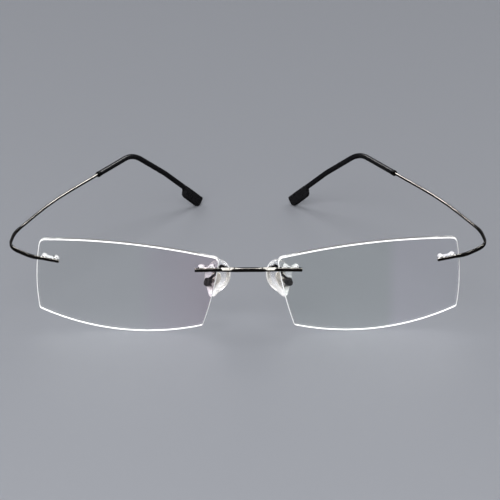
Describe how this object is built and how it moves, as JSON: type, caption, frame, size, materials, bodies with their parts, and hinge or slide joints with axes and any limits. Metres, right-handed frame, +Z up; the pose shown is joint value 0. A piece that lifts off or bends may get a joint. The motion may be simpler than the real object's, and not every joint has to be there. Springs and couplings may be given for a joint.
{
  "type": "rimless eyeglasses",
  "caption": "Rimless rectangular eyeglasses with clear lenses, gunmetal bridge, adjustable nose pads and hingeless flexible wire temples with black sleeves.",
  "frame": {"origin": "under the middle of the whole object, on the surface that it stands on, with the lenses' lower edges and the temple tips touching it", "axes": "+X to the wearer's left, along the bridge; +Y back from the lenses to the ears; +Z up"},
  "size_m": [0.1358, 0.1178, 0.0281],
  "materials": {
    "lens": "polished clear with an anti-reflective coating",
    "titanium": "polished gunmetal titanium",
    "screw": "polished steel",
    "clear_sleeve": "clear moulded plastic",
    "silicone_pad": "clear soft silicone, glossy",
    "pad_core": "bright metal core seen through the pad",
    "tube_ring": "dark satin metal",
    "temple_tube": "glossy black silicone tube",
    "tip_block": "satin black moulded plastic"
  },
  "bodies": {
    "front": {"bridge_bar": "titanium", "left_lens": "lens", "left_nasal_double_sleeve": "clear_sleeve", "left_temple_double_sleeve": "clear_sleeve", "left_pad_arm": "titanium", "left_pad_box": "titanium", "left_pad_screw": "screw", "left_temple_bar": "titanium", "left_flex_ribbon": "titanium", "right_lens": "lens", "right_nasal_double_sleeve": "clear_sleeve", "right_temple_double_sleeve": "clear_sleeve", "right_pad_arm": "titanium", "right_pad_box": "titanium", "right_pad_screw": "screw", "right_temple_bar": "titanium", "right_flex_ribbon": "titanium"},
    "left_temple": {"left_temple_wire": "titanium", "left_tube_ring": "tube_ring", "left_temple_tube": "temple_tube", "left_tip_block": "tip_block"},
    "left_pad": {"left_pad_core": "pad_core", "left_nose_pad": "silicone_pad"},
    "right_temple": {"right_temple_wire": "titanium", "right_tube_ring": "tube_ring", "right_temple_tube": "temple_tube", "right_tip_block": "tip_block"},
    "right_pad": {"right_pad_core": "pad_core", "right_nose_pad": "silicone_pad"}
  },
  "joints": [
    {"name": "left_temple_flex", "type": "hinge", "parent": "front", "child": "left_temple", "pos_m": [0.0663, -0.0441, 0.0215], "axis": [0, 0, -1], "range_deg": [-6, 40], "stiffness_Nm_per_rad": 0.12, "deforming": ["left_flex_ribbon"]},
    {"name": "right_temple_flex", "type": "hinge", "parent": "front", "child": "right_temple", "pos_m": [-0.0663, -0.0441, 0.0215], "axis": [0, 0, 1], "range_deg": [-6, 40], "stiffness_Nm_per_rad": 0.12, "deforming": ["right_flex_ribbon"]},
    {"name": "left_pad_rock", "type": "hinge", "parent": "front", "child": "left_pad", "pos_m": [0.01095, -0.04813, 0.01286], "axis": [-0.6996, -0.6996, -0.1449], "range_deg": [-10, 10]},
    {"name": "right_pad_rock", "type": "hinge", "parent": "front", "child": "right_pad", "pos_m": [-0.01095, -0.04813, 0.01286], "axis": [-0.6996, 0.6996, 0.1449], "range_deg": [-10, 10]}
  ]
}
